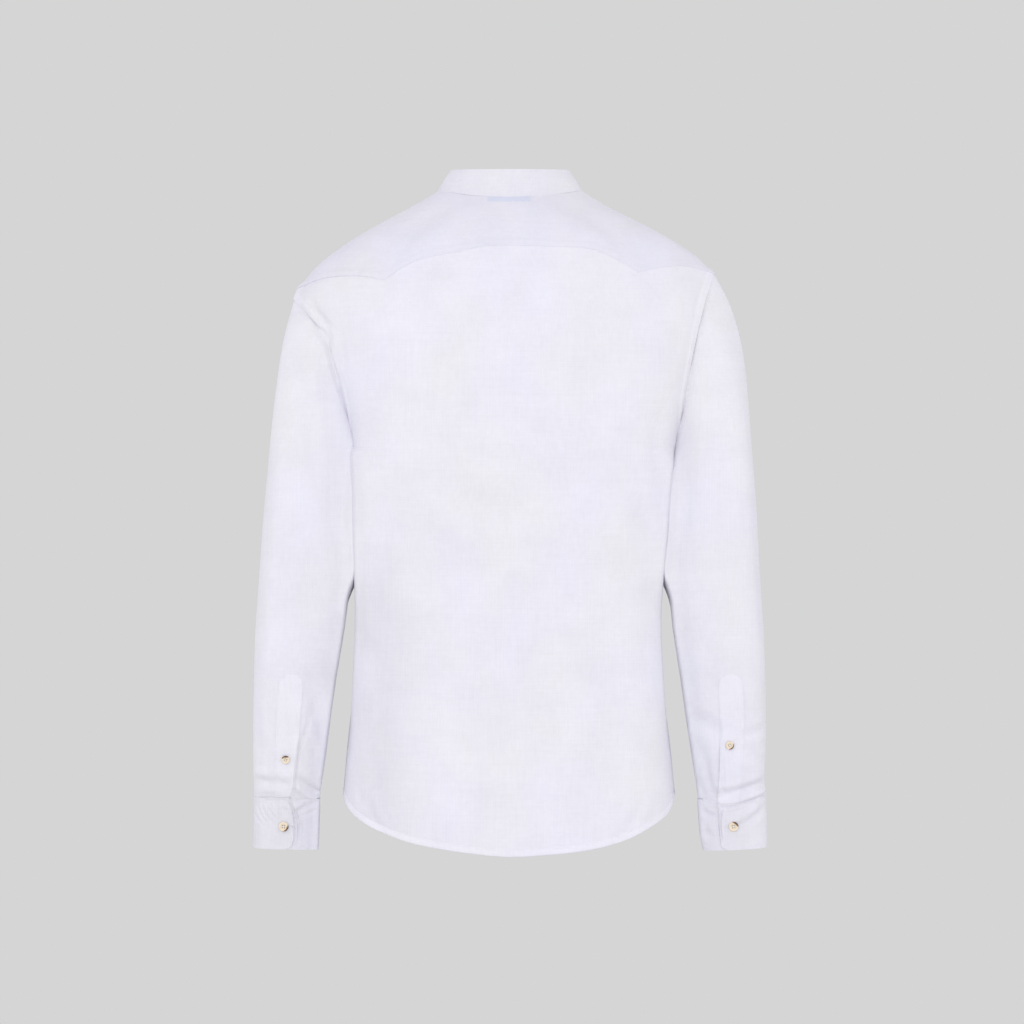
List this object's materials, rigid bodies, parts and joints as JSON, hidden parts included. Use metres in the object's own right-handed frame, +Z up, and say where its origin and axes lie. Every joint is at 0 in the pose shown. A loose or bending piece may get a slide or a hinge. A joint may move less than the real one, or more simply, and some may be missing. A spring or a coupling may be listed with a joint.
{
  "type": "long-sleeved mandarin collar shirt",
  "caption": "Long-sleeved buttoned shirt with a stand collar, a pointed back yoke and a curved hem, filled out as worn.",
  "frame": {"origin": "on the body's axis between front and back, level with the collar seam at the centre back, where the wearer's neck and shoulders carry the shirt", "axes": "+Z up, the shirt's front faces -Y, +X towards the wearer's left"},
  "size_m": [0.6113, 0.2404, 0.8045],
  "materials": {
    "linen": "plain-woven white linen, matt, lightly slubbed",
    "horn": "staghorn look, cream with a brown rim on one side, satin",
    "label_tape": "plain woven tape, blank"
  },
  "bodies": {
    "root": {"back": "linen", "yoke": "linen", "front_left": "linen", "front_right": "linen", "front_placket": "linen", "collar_band": "linen", "sleeve_left": "linen", "sleeve_right": "linen", "cuff_left": "linen", "cuff_right": "linen", "sleeve_placket_left": "linen", "sleeve_placket_right": "linen", "neck_label": "label_tape", "button_front_1": "horn", "button_front_2": "horn", "button_front_3": "horn", "button_front_4": "horn", "button_front_5": "horn", "button_front_6": "horn", "button_front_7": "horn", "button_collar": "horn", "button_sleeve_left": "horn", "button_sleeve_right": "horn", "button_cuff_left": "horn", "button_cuff_right": "horn"}
  },
  "joints": []
}
